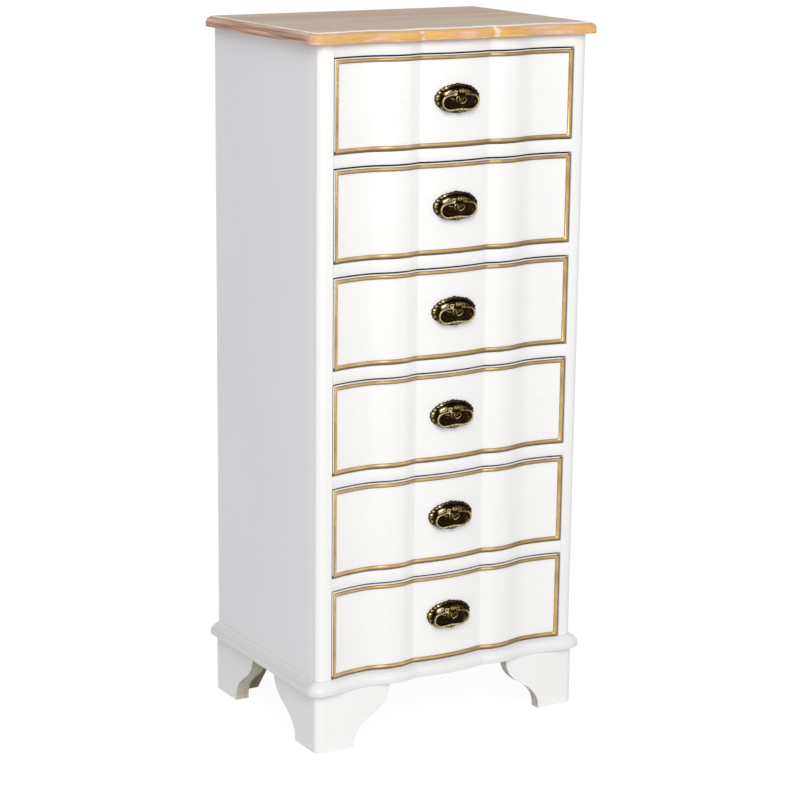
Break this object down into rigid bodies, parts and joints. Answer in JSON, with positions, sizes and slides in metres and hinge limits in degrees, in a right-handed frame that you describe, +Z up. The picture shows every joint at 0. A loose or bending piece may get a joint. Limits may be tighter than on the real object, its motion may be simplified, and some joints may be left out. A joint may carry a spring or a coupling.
{
  "type": "chiffonier",
  "caption": "Tall narrow chest of drawers with a serpentine front, moulded top and base, ogee bracket feet, beaded drawers that slide and cast swing-bail handles.",
  "frame": {"origin": "on the floor, under the middle of the whole object, handles counted in", "axes": "+Z up, the front with the drawers looks along -Y, +X to the right as seen from the front"},
  "size_m": [0.5, 0.3499, 1.1],
  "materials": {
    "white_paint": "satin off-white paint on wood",
    "beaded_paint": "satin off-white paint on wood, with the raised bead gilt in antique gold",
    "washed_wood": "limed light brown wood, matt, white wash left in the grain",
    "drawer_wood": "plain unpainted wood",
    "plywood": "plain thin plywood",
    "back_board": "plain thin board",
    "dark_brass": "antique dark brass, cast"
  },
  "bodies": {
    "carcass": {"top": "washed_wood", "back_panel": "back_board", "base_board": "white_paint", "side_panel_left": "white_paint", "side_panel_right": "white_paint", "front_post_left": "white_paint", "front_post_right": "white_paint", "top_rail": "white_paint", "foot_front_left": "white_paint", "foot_front_right": "white_paint", "foot_back_left": "white_paint", "foot_back_right": "white_paint", "divider_1": "white_paint", "divider_2": "white_paint", "divider_3": "white_paint", "divider_4": "white_paint", "divider_5": "white_paint"},
    "drawer_1": {"drawer_1_front": "beaded_paint", "drawer_1_side_left": "drawer_wood", "drawer_1_side_right": "drawer_wood", "drawer_1_back": "drawer_wood", "drawer_1_bottom": "plywood", "drawer_1_handle_plate": "dark_brass"},
    "bail_1": {"drawer_1_bail": "dark_brass"},
    "drawer_2": {"drawer_2_front": "beaded_paint", "drawer_2_side_left": "drawer_wood", "drawer_2_side_right": "drawer_wood", "drawer_2_back": "drawer_wood", "drawer_2_bottom": "plywood", "drawer_2_handle_plate": "dark_brass"},
    "bail_2": {"drawer_2_bail": "dark_brass"},
    "drawer_3": {"drawer_3_front": "beaded_paint", "drawer_3_side_left": "drawer_wood", "drawer_3_side_right": "drawer_wood", "drawer_3_back": "drawer_wood", "drawer_3_bottom": "plywood", "drawer_3_handle_plate": "dark_brass"},
    "bail_3": {"drawer_3_bail": "dark_brass"},
    "drawer_4": {"drawer_4_front": "beaded_paint", "drawer_4_side_left": "drawer_wood", "drawer_4_side_right": "drawer_wood", "drawer_4_back": "drawer_wood", "drawer_4_bottom": "plywood", "drawer_4_handle_plate": "dark_brass"},
    "bail_4": {"drawer_4_bail": "dark_brass"},
    "drawer_5": {"drawer_5_front": "beaded_paint", "drawer_5_side_left": "drawer_wood", "drawer_5_side_right": "drawer_wood", "drawer_5_back": "drawer_wood", "drawer_5_bottom": "plywood", "drawer_5_handle_plate": "dark_brass"},
    "bail_5": {"drawer_5_bail": "dark_brass"},
    "drawer_6": {"drawer_6_front": "beaded_paint", "drawer_6_side_left": "drawer_wood", "drawer_6_side_right": "drawer_wood", "drawer_6_back": "drawer_wood", "drawer_6_bottom": "plywood", "drawer_6_handle_plate": "dark_brass"},
    "bail_6": {"drawer_6_bail": "dark_brass"}
  },
  "joints": [
    {"name": "drawer_1_slide", "type": "slide", "parent": "carcass", "child": "drawer_1", "axis": [0, -1, 0], "range_m": [0, 0.25]},
    {"name": "bail_1_hinge", "type": "hinge", "parent": "drawer_1", "child": "bail_1", "pos_m": [0, -0.1688, 1.00738], "axis": [-1, 0, 0], "range_deg": [0, 85]},
    {"name": "drawer_2_slide", "type": "slide", "parent": "carcass", "child": "drawer_2", "axis": [0, -1, 0], "range_m": [0, 0.25]},
    {"name": "bail_2_hinge", "type": "hinge", "parent": "drawer_2", "child": "bail_2", "pos_m": [0, -0.1688, 0.84605], "axis": [-1, 0, 0], "range_deg": [0, 85]},
    {"name": "drawer_3_slide", "type": "slide", "parent": "carcass", "child": "drawer_3", "axis": [0, -1, 0], "range_m": [0, 0.25]},
    {"name": "bail_3_hinge", "type": "hinge", "parent": "drawer_3", "child": "bail_3", "pos_m": [0, -0.1688, 0.68472], "axis": [-1, 0, 0], "range_deg": [0, 85]},
    {"name": "drawer_4_slide", "type": "slide", "parent": "carcass", "child": "drawer_4", "axis": [0, -1, 0], "range_m": [0, 0.25]},
    {"name": "bail_4_hinge", "type": "hinge", "parent": "drawer_4", "child": "bail_4", "pos_m": [0, -0.1688, 0.52338], "axis": [-1, 0, 0], "range_deg": [0, 85]},
    {"name": "drawer_5_slide", "type": "slide", "parent": "carcass", "child": "drawer_5", "axis": [0, -1, 0], "range_m": [0, 0.25]},
    {"name": "bail_5_hinge", "type": "hinge", "parent": "drawer_5", "child": "bail_5", "pos_m": [0, -0.1688, 0.36205], "axis": [-1, 0, 0], "range_deg": [0, 85]},
    {"name": "drawer_6_slide", "type": "slide", "parent": "carcass", "child": "drawer_6", "axis": [0, -1, 0], "range_m": [0, 0.25]},
    {"name": "bail_6_hinge", "type": "hinge", "parent": "drawer_6", "child": "bail_6", "pos_m": [0, -0.1688, 0.20072], "axis": [-1, 0, 0], "range_deg": [0, 85]}
  ]
}
